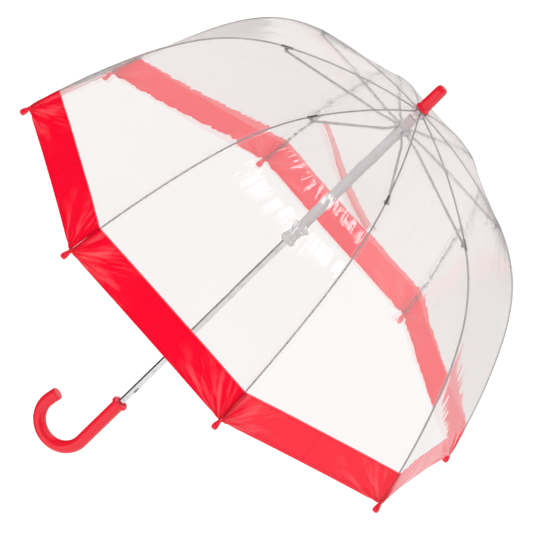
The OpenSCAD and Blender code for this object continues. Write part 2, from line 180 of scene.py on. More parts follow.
def lathe(profile, seg=72):
    """Solid of revolution about Z from a closed list of (r, z)."""
    p = np.array(profile, float)
    n = len(p)
    a = np.linspace(0, 2 * math.pi, seg, endpoint=False)
    v = np.stack([np.outer(np.cos(a), p[:, 0]), np.outer(np.sin(a), p[:, 0]),
                  np.tile(p[:, 1], (seg, 1))], -1).reshape(-1, 3)
    f = []
    for j in range(seg):
        here, there = j * n, ((j + 1) % seg) * n
        f += [(here + i, there + i, there + (i + 1) % n, here + (i + 1) % n) for i in range(n)]
    return v, f


def sweep(points, radii, seg=16, squash=1.0):
    """Closed tube along points, with its own radius at each, and ends closed by fans."""
    p = np.array(points, float)
    radii = np.broadcast_to(np.asarray(radii, float), (len(p),))
    d = np.gradient(p, axis=0)
    d /= np.linalg.norm(d, axis=1)[:, None]
    side = np.cross(d[0], [0, 0, 1.0])
    if np.linalg.norm(side) < 0.1:
        side = np.cross(d[0], [0, 1.0, 0])
    side /= np.linalg.norm(side)
    rings = []
    a = np.linspace(0, 2 * math.pi, seg, endpoint=False)
    for i in range(len(p)):
        side = side - d[i] * (side @ d[i])
        side /= np.linalg.norm(side)
        up = np.cross(d[i], side)
        ring = np.outer(np.cos(a), side) + squash * np.outer(np.sin(a), up)
        rings.append(p[i] + radii[i] * ring)
    v = np.concatenate(rings + [p[:1], p[-1:]])
    n = len(p)
    f = grid(n, seg, wrap=True)
    f += [(n * seg, (j + 1) % seg, j) for j in range(seg)]
    f += [(n * seg + 1, (n - 1) * seg + j, (n - 1) * seg + (j + 1) % seg) for j in range(seg)]
    return v, f


def round_ends(s, r):
    """Lengths and radii along a rod with half-round ends: s is its list of lengths."""
    s = np.asarray(s, float)
    t = np.linspace(0.06, 1, 5) * math.pi / 2
    along, across = r * (1 - np.cos(t)), r * np.sin(t)
    mid = s[(s > s[0] + r * 1.01) & (s < s[-1] - r * 1.01)]
    return (np.concatenate([s[0] + along, mid, s[-1] - along[::-1]]),
            np.concatenate([across, np.full(len(mid), r), across[::-1]]))


def from_bm(bm):
    v = np.array([x.co for x in bm.verts])
    bm.verts.index_update()
    f = [tuple(x.index for x in y.verts) for y in bm.faces]
    bm.free()
    return v, f


def plate(outline, low, high, edge):
    """Flat plate with that outline in XY between two heights, with its rims rounded."""
    bm = bmesh.new()
    face = bm.faces.new([bm.verts.new((x, y, low)) for x, y in outline])
    up = bmesh.ops.extrude_face_region(bm, geom=[face])
    tops = [g for g in up["geom"] if isinstance(g, bmesh.types.BMVert)]
    bmesh.ops.translate(bm, vec=(0, 0, high - low), verts=tops)
    bmesh.ops.recalc_face_normals(bm, faces=bm.faces)
    flat = [e for e in bm.edges if abs(e.verts[0].co.z - e.verts[1].co.z) < 1e-9]
    bmesh.ops.bevel(bm, geom=flat, offset=edge, segments=2, affect="EDGES", profile=0.5)
    return from_bm(bm)


def fillet(points, n=6):
    """Rounds the corners of a list of (r, z, radius)."""
    out = []
    m = len(points)
    for i, (x, y, rad) in enumerate(points):
        p = np.array([x, y])
        if rad <= 0:
            out.append((x, y))
            continue
        a = np.array(points[i - 1][:2]) - p
        b = np.array(points[(i + 1) % m][:2]) - p
        la, lb = np.linalg.norm(a), np.linalg.norm(b)
        a, b = a / la, b / lb
        ang = math.acos(float(np.clip(a @ b, -1, 1)))
        cut = min(rad / math.tan(ang / 2), 0.49 * la, 0.49 * lb)
        r = cut * math.tan(ang / 2)
        c = p + (a + b) / np.linalg.norm(a + b) * r / math.sin(ang / 2)
        p0, p1 = p + a * cut, p + b * cut
        a0 = math.atan2(*(p0 - c)[::-1])
        a1 = math.atan2(*(p1 - c)[::-1])
        da = (a1 - a0 + math.pi) % (2 * math.pi) - math.pi
        out += [(c[0] + r * math.cos(a0 + da * j / n), c[1] + r * math.sin(a0 + da * j / n))
                for j in range(n + 1)]
    return out


# ---------------------------------------------------------------- materials
def material(name):
    m = bpy.data.materials.new(name)
    m.use_nodes = True
    t = m.node_tree
    t.nodes.clear()
    out = t.nodes.new("ShaderNodeOutputMaterial")
    return m, t, out


def node(t, kind, link=(), **vals):
    """New node: vals set sockets, or properties after p_, and link joins (socket, output)."""
    n = t.nodes.new(kind)
    for k, v in vals.items():
        if k.startswith("p_"):
            setattr(n, k[2:], v)
        else:
            n.inputs[k.replace("_", " ")].default_value = v
    for sock, src in link:
        t.links.new(src, n.inputs[sock])
    return n


def feed(t, sock, x):
    """Gives a socket its input: another node's output, or a plain value."""
    if isinstance(x, bpy.types.NodeSocket):
        t.links.new(x, sock)
    else:
        sock.default_value = x


def math_node(t, op, a, b=None, clamp=False):
    n = t.nodes.new("ShaderNodeMath")
    n.operation = op
    n.use_clamp = clamp
    feed(t, n.inputs[0], a)
    if b is not None:
        feed(t, n.inputs[1], b)
    return n.outputs[0]


def times(t, a, b):
    return math_node(t, "MULTIPLY", a, b)


def plus(t, a, b, clamp=False):
    return math_node(t, "ADD", a, b, clamp)


def close_to(t, a, b, within):
    """1 where a and b differ by less than within, else 0."""
    same = math_node(t, "COMPARE", a, b)
    same.node.inputs[2].default_value = within
    return same


def ramp(t, value, stops):
    n = t.nodes.new("ShaderNodeValToRGB")
    for e, (pos, col) in zip(n.color_ramp.elements, (stops[0], stops[-1])):
        e.position, e.color = pos, col
    for pos, col in stops[1:-1]:
        n.color_ramp.elements.new(pos).color = col
    t.links.new(value, n.inputs[0])
    return n.outputs[0]


def noise(t, way, scale, detail, roughness=0.5):
    return node(t, "ShaderNodeTexNoise", [("Vector", way)], Scale=scale, Detail=detail,
                Roughness=roughness).outputs["Fac"]


def bump(t, height, strength, distance, under=None):
    """Normal that height bends, on top of the normal under."""
    link = [("Height", height)] + ([] if under is None else [("Normal", under)])
    return node(t, "ShaderNodeBump", link, Strength=strength, Distance=distance).outputs[0]


def mix_colour(t, factor, a, b):
    n = node(t, "ShaderNodeMix", p_data_type="RGBA")
    for sock, x in (("Factor", factor), ("A", a), ("B", b)):
        feed(t, n.inputs[sock], x)
    return n.outputs["Result"]


def mix_shader(t, factor, a, b):
    n = node(t, "ShaderNodeMixShader", [(1, a.outputs[0]), (2, b.outputs[0])])
    feed(t, n.inputs[0], factor)
    return n


def grey(x):
    return (x, x, x, 1.0)


def schlick(t, base):
    """Reflection at the surface that grows towards grazing angles."""
    grow = math_node(t, "POWER", node(t, "ShaderNodeLayerWeight", Blend=0.5).outputs["Facing"], 5.0)
    return plus(t, times(t, grow, 1 - base), base, clamp=True)


PEEL = 0.00006  # depth of the orange-peel on moulded plastic


def plastic(name, colour, dark, rough, grain=900.0, through=0.0, coat=0.35):
    """Glossy moulded plastic: slight flow marks, fine orange-peel and small wear in the shine."""
    m, t, out = material(name)
    co = node(t, "ShaderNodeTexCoord").outputs["Object"]
    big, fine = noise(t, co, 38.0, 3.0), noise(t, co, grain, 2.0)
    tint = mix_colour(t, big, colour, dark)
    skin = bump(t, big, 0.35, PEEL * 5, bump(t, fine, 0.25, PEEL))
    wear = plus(t, times(t, fine, 0.10), rough - 0.05)
    shader = node(t, "ShaderNodeBsdfPrincipled",
                  [("Base Color", tint), ("Normal", skin), ("Roughness", wear)],
                  Coat_Weight=coat, Coat_Roughness=0.05, IOR=1.48)
    if through:
        lit = node(t, "ShaderNodeBsdfTranslucent", [("Color", tint)])
        shader = mix_shader(t, through, shader, lit)
    t.links.new(shader.outputs[0], out.inputs[0])
    return m


def metal(name, colour, rough, brushed, dark=None, scale=(60, 60, 4)):
    """Plated metal with drawing marks along the piece and faint tarnish."""
    m, t, out = material(name)
    co = node(t, "ShaderNodeTexCoord").outputs["Object"]
    mp = node(t, "ShaderNodeMapping", [("Vector", co)], Scale=scale)
    lines, spots = noise(t, mp.outputs[0], 40.0, 4.0), noise(t, co, 120.0, 5.0)
    dark = dark or tuple(c * 0.82 for c in colour[:3]) + (1,)
    tint = ramp(t, spots, [(0.45, colour), (0.72, dark)])
    wear = plus(t, times(t, lines, 0.12), rough - 0.05)
    skin = bump(t, lines, brushed, 0.00004)
    p = node(t, "ShaderNodeBsdfPrincipled",
             [("Base Color", tint), ("Normal", skin), ("Roughness", wear)], Metallic=1.0)
    t.links.new(p.outputs[0], out.inputs[0])
    return m


RED, RED_DARK = (0.86, 0.006, 0.028, 1), (0.72, 0.004, 0.02, 1)
red_plastic = plastic("red_plastic", RED, RED_DARK, 0.17)
cap_plastic = plastic("cap_plastic", RED, RED_DARK, 0.24, grain=1400.0)
milk = plastic("milky_plastic", (0.68, 0.67, 0.69, 1), (0.60, 0.59, 0.62, 1), 0.22,
               through=0.45, coat=0.2)
chrome = metal("chrome", (0.86, 0.86, 0.87, 1), 0.09, 0.12, scale=(6, 6, 0.6))
wire = metal("rib_wire", (0.34, 0.31, 0.31, 1), 0.26, 0.3, (0.24, 0.22, 0.22, 1))
strip = metal("stretcher_steel", (0.50, 0.47, 0.47, 1), 0.24, 0.35, (0.32, 0.30, 0.30, 1))
crimp = metal("crimp_steel", (0.20, 0.18, 0.18, 1), 0.32, 0.4, (0.12, 0.11, 0.11, 1))


def film_streaks(t, uv, along, across, detail=3.0):
    """Noise drawn out along the ribs: the marks of film that was rolled and stretched."""
    mp = node(t, "ShaderNodeMapping", [("Vector", uv)], Scale=(across, along, 1))
    return noise(t, mp.outputs[0], 1.0, detail, 0.55)


def span_uv(t):
    """The film's UVs, in metres, and their two parts: from the rib, and along the rib."""
    uv = node(t, "ShaderNodeUVMap", p_uv_map="span").outputs[0]
    sep = node(t, "ShaderNodeSeparateXYZ", [(0, uv)])
    return uv, sep.outputs[0], sep.outputs[1]


SEAM = 0.0042  # half width of the band at a rib where the clear film is two layers thick
FOG = (0.82, 0.785, 0.775, 1)


def clear_film():
    m, t, out = material("clear_film")
    uv, side, s = span_uv(t)
    across = math_node(t, "ABSOLUTE", side)
    high = ramp(t, s, [(0.12, grey(1)), (0.34, grey(0.2))])
    fine = film_streaks(t, uv, 7.0, 240.0)
    bent = bump(t, times(t, fine, high), 0.9, 0.0012)
    bent = bump(t, film_streaks(t, uv, 4.0, 45.0, 2.0), 0.8, 0.004, bent)
    gloss = bump(t, film_streaks(t, uv, 9.0, 95.0, 2.0), 0.35, 0.0015)
    gloss = bump(t, film_streaks(t, uv, 6.0, 34.0, 0.5), 0.15, 0.003, gloss)
    gloss = bump(t, film_streaks(t, uv, 60.0, 60.0, 4.0), 0.12, 0.0015, gloss)
    facing = node(t, "ShaderNodeLayerWeight", Blend=0.5).outputs["Facing"]
    # the light that goes straight through, darker where the film is seen edge on
    dim = math_node(t, "SUBTRACT", 0.92, times(t, math_node(t, "POWER", facing, 7.0), 0.18))
    parts = [("Red", dim), ("Green", times(t, dim, 0.978)), ("Blue", times(t, dim, 0.968))]
    tint = node(t, "ShaderNodeCombineColor", parts).outputs[0]
    clear = node(t, "ShaderNodeBsdfTransparent", [("Color", tint)])
    bend = node(t, "ShaderNodeBsdfRefraction", [("Color", tint), ("Normal", bent)],
                IOR=1.018, Roughness=0.0)
    see = mix_shader(t, 0.85, clear, bend)
    # haze: overall, in the seam band, on its edge, in the fine streaks and at grazing angles
    seam = math_node(t, "LESS_THAN", across, SEAM)
    line = close_to(t, across, SEAM, 0.0006)
    dust = times(t, ramp(t, fine, [(0.5, grey(0)), (0.78, grey(1))]), high)
    haze = plus(t, 0.21, times(t, seam, 0.06))
    haze = plus(t, haze, times(t, line, 0.12))
    haze = plus(t, haze, times(t, dust, 0.07))
    haze = plus(t, haze, times(t, math_node(t, "POWER", facing, 4.0), 0.06), clamp=True)
    fog = mix_shader(t, 0.5, node(t, "ShaderNodeBsdfDiffuse", Color=FOG),
                     node(t, "ShaderNodeBsdfTranslucent", Color=FOG))
    body = mix_shader(t, haze, see, fog)
    shine = node(t, "ShaderNodeBsdfGlossy", [("Normal", gloss)], Color=grey(1.0), Roughness=0.05)
    mirror = math_node(t, "MINIMUM", schlick(t, 0.05), 0.2)
    seen = mix_shader(t, mirror, body, shine)
    # a lamp's light passes nearly freely
    shadow = node(t, "ShaderNodeLightPath").outputs["Is Shadow Ray"]
    free = node(t, "ShaderNodeBsdfTransparent", Color=(0.97, 0.97, 0.97, 1))
    t.links.new(mix_shader(t, shadow, seen, free).outputs[0], out.inputs[0])
    return m


def red_film(name, clear=0.0):
    """Red film that glows through. clear is the share of it that is seen straight through."""
    m, t, out = material(name)
    uv, side, s = span_uv(t)
    across = math_node(t, "ABSOLUTE", side)
    fine = film_streaks(t, uv, 300.0, 300.0)
    broad = film_streaks(t, uv, 25.0, 25.0, 2.0)
    top = RIB - BORDER
    weld = close_to(t, s, top + 0.0028, 0.0005)
    hem = close_to(t, s, RIB - 0.0042, 0.0005)
    edge = math_node(t, "LESS_THAN", s, top + 0.0016)
    # the two layers folded over the wire, and the weld of the two halves at mid-gore
    double = math_node(t, "LESS_THAN", across, 0.0035)
    r0, r1 = rib_rz([RIB - BORDER, RIB])[0]
    slope = (r1 - r0) * math.sin(HALF) / BORDER
    middle = times(t, math_node(t, "SUBTRACT", s, RIB), slope)
    welded = close_to(t, across, plus(t, middle, r1 * math.sin(HALF)), 0.0007)
    lines = plus(t, plus(t, weld, hem), times(t, welded, -1.0))
    skin = bump(t, lines, 0.5, -0.0004)
    skin = bump(t, fine, 0.15, 0.0002, skin)
    skin = bump(t, broad, 0.35, 0.002, skin)
    # gathers that fan out from the tip, with a painted highlight along their backs
    below = math_node(t, "SUBTRACT", GATHER, s)
    fan = math_node(t, "ARCTAN2", across, below)
    gone = math_node(t, "SQRT", plus(t, times(t, across, across), times(t, below, below)))
    half = times(t, math_node(t, "SIGN", side), 3.0)
    polar = [(0, times(t, fan, 5.0)), (1, times(t, gone, 16.0)), (2, half)]
    rays = noise(t, node(t, "ShaderNodeCombineXYZ", polar).outputs[0], 1.0, 3.0, 0.6)
    near = ramp(t, gone, [(0.010, grey(1)), (0.045, grey(0.7)), (0.10, grey(0))])
    painted_gather_highlight = times(t, ramp(t, rays, [(0.50, grey(0)), (0.66, grey(1))]), near)
    skin = bump(t, times(t, rays, near), 0.8, 0.004, skin)
    tint = mix_colour(t, broad, (0.97, 0.0, 0.028, 1), (0.92, 0.0, 0.022, 1))
    # painted highlight: the backs of the gathers are mixed towards pale pink
    tint = mix_colour(t, times(t, painted_gather_highlight, 0.3), tint, (1.0, 0.30, 0.30, 1))
    marks = times(t, math_node(t, "MAXIMUM", lines, 0.0), 0.35)
    tint = mix_colour(t, marks, tint, (0.5, 0.0, 0.01, 1))
    layers = times(t, plus(t, double, times(t, welded, 0.3), clamp=True), 0.45)
    tint = mix_colour(t, layers, tint, (0.55, 0.0, 0.012, 1))
    tint = mix_colour(t, times(t, edge, 0.3), tint, (1.0, 0.25, 0.30, 1))
    both = [("Color", tint), ("Normal", skin)]
    body = mix_shader(t, 0.5, node(t, "ShaderNodeBsdfDiffuse", both),
                      node(t, "ShaderNodeBsdfTranslucent", both))
    if clear:
        gap = node(t, "ShaderNodeBsdfTransparent", Color=(0.93, 0.80, 0.80, 1))
        body = mix_shader(t, clear, body, gap)
    shine = node(t, "ShaderNodeBsdfGlossy", [("Normal", skin)], Color=grey(1.0), Roughness=0.12)
    t.links.new(mix_shader(t, schlick(t, 0.045), body, shine).outputs[0], out.inputs[0])
    return m


film = clear_film()
border_film = red_film("red_film")
strap_film = red_film("strap_film", 0.42)


# ---------------------------------------------------------------- canopy
SAG = 0.0035  # of the film at mid-gore, below the line over the ribs


def wrinkle(s, u, k, side):
    """Height of the gathers off the flat panel, at rib length s and distance u from the rib."""
    d = np.hypot(u, GATHER - s)
    a = np.arctan2(u, GATHER - s)
    near = np.exp(-((d - 0.012) / 0.035) ** 2)
    w = 0.0013 * near * np.sin(13 * a + 0.6) * np.clip(d / 0.012, 0, 1)
    # a crease from the tip along the lower edge, deepest beside rib 3
    v = RIB - s
    deep = 0.0015 if (k, side) == (3, 1) else 0.0008 * (1 + math.sin(2.3 * k + side))
    fade = np.clip(u / 0.012, 0, 1) * np.clip((0.092 - u) / 0.03, 0, 1)
    w -= deep * fade * np.exp(-((v - 0.003 - 0.09 * u) / 0.0028) ** 2)
    w += 0.7 * deep * fade * np.exp(-((v - 0.010 - 0.16 * u) / 0.0045) ** 2)
    w += 0.00035 * np.exp(-(d / 0.09) ** 2) * np.sin(27 * a + 80 * d)
    # soft waves across the middle of the gore
    w += 0.0004 * np.sin(21 * s + 1.3) * np.sin(60 * u + 9 * s) * np.clip(u / 0.03, 0, 1)
    return w * np.clip((s - 0.02) / 0.05, 0, 1)


def film_points(k, side, s, t):
    """Points of the gore half beside rib k, and their distances from it.

    s is rib length, and t goes from 0 at the rib to 1 at mid-gore."""
    r, z = film_rz(s)
    half_w = r * math.sin(HALF)
    u = t * half_w
    sag = SAG * np.clip(s / 0.25, 0, 1) * (1 - (1 - t) ** 2)
    # rounded over the wire
    over = 0.0006 * np.exp(-(u / 0.0018) ** 2)
    out = -sag - over + wrinkle(s, u, k, side)
    # panel normal: horizontal share and vertical share
    rise = math.cos(HALF)
    dr, dz = np.gradient(r, axis=0), np.gradient(z, axis=0)
    n = np.hypot(dr * rise, dz) + 1e-12
    nx, nz = -dz / n, dr * rise / n
    x = r * rise + nx * out
    y = -(half_w - u) * side
    a = rib_az(k) + side * HALF
    across = [x * math.cos(a) - y * math.sin(a), x * math.sin(a) + y * math.cos(a)]
    return np.stack([*across, z + nz * out], -1), u


def film_piece(name, k, side, s0, s1, rows, cols, mat):
    """Sheet of the gore half beside rib k from length s0 to s1, and the area it is cut to."""
    s = np.linspace(s0, s1, rows)
    t = np.linspace(0, 1, cols) ** 1.35
    # one row further at each end, for normals that carry on over the seams
    ds = (s1 - s0) / (rows - 1)
    se = np.concatenate([[s[0] - 0.3 * ds], s, [s[-1] + 0.3 * ds]])
    S, T = np.meshgrid(se, t, indexing="ij")
    P, U = film_points(k, side, np.clip(S, 0.0, GATHER), T)
    N = np.cross(np.gradient(P, axis=0), np.gradient(P, axis=1))
    N /= np.linalg.norm(N, axis=-1)[..., None] + 1e-15
    if side < 0:
        N = -N
    # at mid-gore the two halves mirror each other
    a = rib_az(k) + side * HALF
    th = np.array([-math.sin(a), math.cos(a), 0])
    N[:, -1] -= th * (N[:, -1] @ th)[:, None]
    N /= np.linalg.norm(N, axis=-1)[..., None]
    P, N, U, S = P[1:-1], N[1:-1], U[1:-1], S[1:-1]
    # normals point out of the dome, and so do the faces
    level = P * [1, 1, 0]
    out = level / (np.linalg.norm(level, axis=-1)[..., None] + 1e-9) * 0.5 + np.array([0, 0, 0.5])
    if (N * out).sum() < 0:
        N = -N
    f = grid(*P.shape[:2])
    v = P.reshape(-1, 3)
    a0 = np.cross(v[f[0][1]] - v[f[0][0]], v[f[0][3]] - v[f[0][0]])
    if a0 @ N.reshape(-1, 3)[0] < 0:
        f = [x[::-1] for x in f]
    uv = np.stack([U * side, S], -1).reshape(-1, 2).tolist()
    b = Build().add(v, f, 0, uv=uv)
    o = b.make(name, [mat], sharp=0, normals=N.reshape(-1, 3).tolist())
    # area of the half gore as it is cut from flat film
    wide = film_rz(s)[0] * math.sin(HALF)
    return o, float(((wide[1:] + wide[:-1]) / 2 * np.diff(s)).sum())


for k in range(1, 9):
    for side, word in ((-1, "a"), (1, "b")):
        up, area = film_piece(f"film_upper_{k}{word}", k, side, 0.0, S_FLEX, 44, 26, film)
        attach(up, f"rib_inner_{k}")
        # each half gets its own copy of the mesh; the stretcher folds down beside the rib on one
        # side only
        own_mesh(up)
        lo, area = film_piece(f"film_lower_{k}{word}", k, side, S_FLEX, RIB - BORDER, 48, 34,
                              film)
        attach(lo, f"rib_outer_{k}")
        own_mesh(lo)
        bo, area = film_piece(f"border_{k}{word}", k, side, RIB - BORDER, RIB - 0.0002, 30, 60,
                              border_film)
        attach(bo, f"rib_outer_{k}")
        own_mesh(bo)
        if side > 0:
            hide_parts(f"canopy_upper_{k}")
            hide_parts(f"canopy_lower_{k}")
            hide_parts(f"border_{k}")

# ---------------------------------------------------------------- ribs
WIRE_R = 0.001
EYE = fillet([(0.00065, -0.0011, 0.0002), (0.0015, -0.0011, 0.0004),
              (0.0015, 0.0011, 0.0004), (0.00065, 0.0011, 0.0002)], 3)
RIVET_DROP = 0.0035  # from the wire's centre line down to the bracket's rivet
RIVET = fillet([(0, -0.0015, 0), (0.0013, -0.0015, 0.0004), (0.0013, -0.0008, 0.0001),
                (0.0009, -0.0008, 0), (0.0009, 0.0019, 0.0001), (0, 0.0019, 0)], 3)
SLEEVE_X = np.array([-7.5, -7.2, -6.6, -3, -2.6, -2.2, 2.2, 2.6, 3, 6.6, 7.2, 7.5]) / 1000
SLEEVE_R = np.array([1.15, 1.45, 1.68, 1.7, 1.5, 1.68, 1.68, 1.5, 1.7, 1.68, 1.45, 1.15]) / 1000
TAB_R = 0.0022
TAB = [(-TAB_R, 0.0006)]
TAB += [(TAB_R * math.cos(a), -RIVET_DROP + TAB_R * math.sin(a))
        for a in np.linspace(math.pi, 2 * math.pi, 13)]
TAB += [(TAB_R, 0.0006)]
CAP = fillet([(0.00112, -0.0044, 0), (0.0021, -0.0044, 0.0004), (0.0023, -0.0030, 0.0004),
              (0.0020, -0.0022, 0.0004), (0.0024, 0.0010, 0.001), (0.0036, 0.0058, 0.002),
              (0.0040, 0.0085, 0.0025), (0.0036, 0.0114, 0.0018), (0.0020, 0.0122, 0.001),
              (0, 0.0123, 0), (0, 0.0060, 0), (0.00112, 0.0060, 0.0002)], 5)
MOULD_LINE = np.array([[0.00395, 0, 0.0075], [0.00385, 0, 0.0055],
                       [0.0031, 0, 0.0035], [0.0025, 0, 0.0014]])

rb, zb, ab = rib_at(S_BRACKET)
r4, z4, a4 = rib_at(RIB)
for k in range(1, 9):
    turn = at_rib(k)
    # the springy wire, one piece from the notch into the cap
    s, rad = round_ends(np.linspace(0.0013, RIB, 150), WIRE_R)
    r, z, _ = rib_rz(s)
    b = Build().add(*sweep(np.stack([r, 0 * r, z], -1), rad, 14), 0, turn)
    b.add(*lathe(EYE, 28), 0, turn @ Matrix.Translation((HINGE[0], 0, HINGE[1])) @ LYING)
    o = b.make(f"rib_wire_{k}", [wire])
    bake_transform(o)
    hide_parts(f"rib_inner_{k}", f"rib_outer_{k}")
    # crimped sleeve with its tab and rivet
    here = turn @ on_slope((rb, zb), ab)
    line = np.stack([SLEEVE_X, 0 * SLEEVE_X, 0 * SLEEVE_X], -1)
    b = Build().add(*sweep(line, SLEEVE_R, 20, 0.92), 0, here)
    b.add(*plate(TAB, -0.0008, 0.0008, 0.00025), 0, here @ LYING)
    b.add(*lathe(RIVET, 20), 1, here @ Matrix.Translation((0, 0, -RIVET_DROP)) @ LYING_BACK)
    o = b.make(f"bracket_{k}", [crimp, strip])
    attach(o, f"rib_inner_{k}")
    # tip cap: drop-shaped, with a small collar and two mould lines
    here = turn @ on_slope((r4, z4), a4) @ Matrix.Rotation(math.pi / 2, 4, "Y")
    b = Build().add(*lathe(CAP, 40), 0, here)
    for half in (0, math.pi):
        b.add(*sweep(MOULD_LINE, [0.00006, 0.0001, 0.0001, 0.00006], 6), 0,
              here @ Matrix.Rotation(half, 4, "Z"))
    o = b.make(f"tip_cap_{k}", [cap_plastic])
    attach(o, f"rib_outer_{k}")

# ---------------------------------------------------------------- stretchers
STAR = (0.009, RIM + 0.2875)  # the stretcher's eye on the runner's wire
pv = on_slope((rb, zb), ab) @ Vector((0, 0, -RIVET_DROP))
LINK = math.hypot(pv.x - STAR[0], pv.z - STAR[1])
TILT = math.atan2(pv.z - STAR[1], pv.x - STAR[0])
SIDE = 0.0036  # from the rib's plane to the stretcher's outer eye
STRIP_H, STRIP_T = 0.0012, 0.0004  # half height of the U section, and its sheet
OUT_EYE = fillet([(0.00095, -0.0013, 0.0002), (0.0020, -0.0013, 0.0004),
                  (0.0020, 0.0013, 0.0004), (0.00095, 0.0013, 0.0002)], 3)
HEAD = fillet([(0, 0.0014, 0), (0.0009, 0.0014, 0), (0.0016, 0.0015, 0.0003),
               (0.0014, 0.0021, 0.0005), (0, 0.0023, 0)], 3)
# centre line: straight from the eye, joggled, then straight along the side
xs = np.concatenate([np.linspace(0.001, 0.006, 6), np.linspace(0.0075, 0.0285, 14),
                     np.linspace(0.030, LINK - 0.004, 90)])
g = np.clip((xs - 0.006) / 0.024, 0, 1)
ys = SIDE * (3 * g**2 - 2 * g**3)
# U section: opens downwards, folded flat at both ends
opened = np.clip((xs - 0.026) / 0.008, 0, 1) * np.clip((LINK - 0.008 - xs) / 0.006, 0, 1)
rows = []
for x0, y0, q in zip(xs, ys, opened):
    w, h, th = 0.0011 + 0.0002 * q, STRIP_H, STRIP_T
    d = (2 * h - th) * q * 0.8
    sec = [(-w, -h), (-w, h - 0.0004), (-w + 0.0004, h), (w - 0.0004, h), (w, h - 0.0004),
           (w, -h), (w - th, -h), (w - th, -h + d), (-w + th, -h + d), (-w + th, -h)]
    rows.append([(x0, y0 + a, c) for a, c in sec])
arm = np.array(rows)
n, m = arm.shape[:2]
arm_faces = grid(n, m, wrap=True)
arm_faces += [tuple(range(m))[::-1], tuple((n - 1) * m + j for j in range(m))]
x0, x1 = LINK - 0.0055, LINK - 0.0013
NECK = [(x0, -STRIP_H), (x1, -STRIP_H), (x1, STRIP_H), (x0, STRIP_H)]
for k in range(1, 9):
    here = at_rib(k) @ on_slope(STAR, TILT)
    out_eye = here @ Matrix.Translation((LINK, SIDE, 0))
    b = Build().add(arm, arm_faces, 0, here)
    b.add(*lathe(EYE, 28), 0, here @ LYING)
    b.add(*lathe(OUT_EYE, 28), 0, out_eye @ LYING)
    b.add(*plate(NECK, -0.0012, 0.0012, 0.0003), 0, here @ Matrix.Translation((0, SIDE, 0)) @ LYING)
    b.add(*lathe(HEAD, 20), 0, out_eye @ LYING_BACK)
    o = b.make(f"stretcher_piece_{k}", [strip])
    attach(o, f"stretcher_{k}")
    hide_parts(f"stretcher_{k}")

# ---------------------------------------------------------------- shaft, handle, ferrule
LOW, TRAVEL = RIM + 0.0818, 0.296  # the runner's lower end when open, and its way down
CATCH_AZ = math.radians(-60)
TUBE_R, SEG = 0.004, 96
half_slot = 0.00125 / TUBE_R
slots = [(base + 0.011, base + 0.020) for base in (LOW - TRAVEL, LOW)]
# a narrow row past each end of a slot keeps its edge out of the long rows' shading
ends = [z for z0, z1 in slots for z in (z0 - 0.0003, z0, z1, z1 + 0.0003)]
levels = sorted({*ends, *np.linspace(RIM - 0.29, RIM + 0.349, 60).tolist()})
edges = np.linspace(0, 2 * math.pi, SEG, endpoint=False)
v = [(TUBE_R * math.cos(a + CATCH_AZ), TUBE_R * math.sin(a + CATCH_AZ), z)
     for z in levels for a in edges]
f = []
for q in grid(len(levels), SEG, wrap=True):
    i, j = divmod(q[0], SEG)
    mid = (levels[i] + levels[i + 1]) / 2
    am = (edges[j] + math.pi / SEG + math.pi) % (2 * math.pi) - math.pi
    if abs(am) >= half_slot or not any(z0 < mid < z1 for z0, z1 in slots):
        f.append(q)
o = Build().add(v, f).make("shaft_tube", [chrome])
mod = o.modifiers.new("wall", "SOLIDIFY")
mod.thickness = 0.0005
mod.offset = -1
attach(o, "frame")
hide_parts("shaft")

CROOK_AZ, CROOK_TURN = math.radians(157), math.radians(190)
CROOK_R, GRIP_R = 0.033, 0.0082
TIP_RUN, TIP_ROUND = 0.014, 0.0022
RING_Z, BEND_Z = RIM - 0.226, RIM - 0.302
path = [(0, 0, z) for z in np.linspace(RING_Z - 0.003, BEND_Z, 26)]
for a in np.linspace(0, CROOK_TURN, 80)[1:]:
    path.append((CROOK_R * (1 - math.cos(a)), 0, BEND_Z - CROOK_R * math.sin(a)))
last = np.array(path[-1])
dirn = np.array([math.sin(CROOK_TURN), 0, -math.cos(CROOK_TURN)])
for d in np.linspace(0.002, TIP_RUN - TIP_ROUND, 6):
    path.append(tuple(last + dirn * d))
radii = [GRIP_R] * len(path)
# flat end with a rounded rim
for a in np.linspace(0, 1, 9)[1:] * math.pi / 2:
    path.append(tuple(last + dirn * (TIP_RUN - TIP_ROUND + TIP_ROUND * math.sin(a))))
    radii.append(GRIP_R - TIP_ROUND * (1 - math.cos(a)))
for q in (0.75, 0.5, 0.25, 0.02):
    path.append(tuple(last + dirn * (TIP_RUN + 0.00002 * (1 - q))))
    radii.append((GRIP_R - TIP_ROUND) * q)
b = Build().add(*sweep(path, np.array(radii), 64), 0, Matrix.Rotation(CROOK_AZ, 4, "Z"))
ring = fillet([(0.0041, RING_Z - 0.0060, 0), (0.0084, RING_Z - 0.0060, 0.0004),
               (0.0106, RING_Z - 0.0046, 0.0017), (0.0106, RING_Z - 0.0002, 0.0021),
               (0.0074, RING_Z, 0.0010), (0.0062, RING_Z - 0.0014, 0.0006),
               (0.0041, RING_Z - 0.0018, 0.0003)])
b.add(*lathe(ring))
o = b.make("handle_moulding", [red_plastic])
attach(o, "frame")
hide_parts("handle")

FZ = RIM + 0.3233  # the ferrule's lower end
prof = fillet([(0.0041, FZ, 0), (0.0090, FZ, 0.0006), (0.0092, FZ + 0.0022, 0.0010),
               (0.0080, FZ + 0.0034, 0.0008), (0.0077, FZ + 0.0050, 0.0010),
               (0.0071, FZ + 0.0340, 0.010), (0.0062, FZ + 0.0375, 0.0030),
               (0.0030, FZ + 0.0387, 0.0025), (0, FZ + 0.0388, 0), (0, FZ + 0.028, 0),
               (0.0041, FZ + 0.028, 0.0003)], 8)
o = Build().add(*lathe(prof)).make("ferrule_moulding", [red_plastic])
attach(o, "frame")
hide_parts("ferrule")

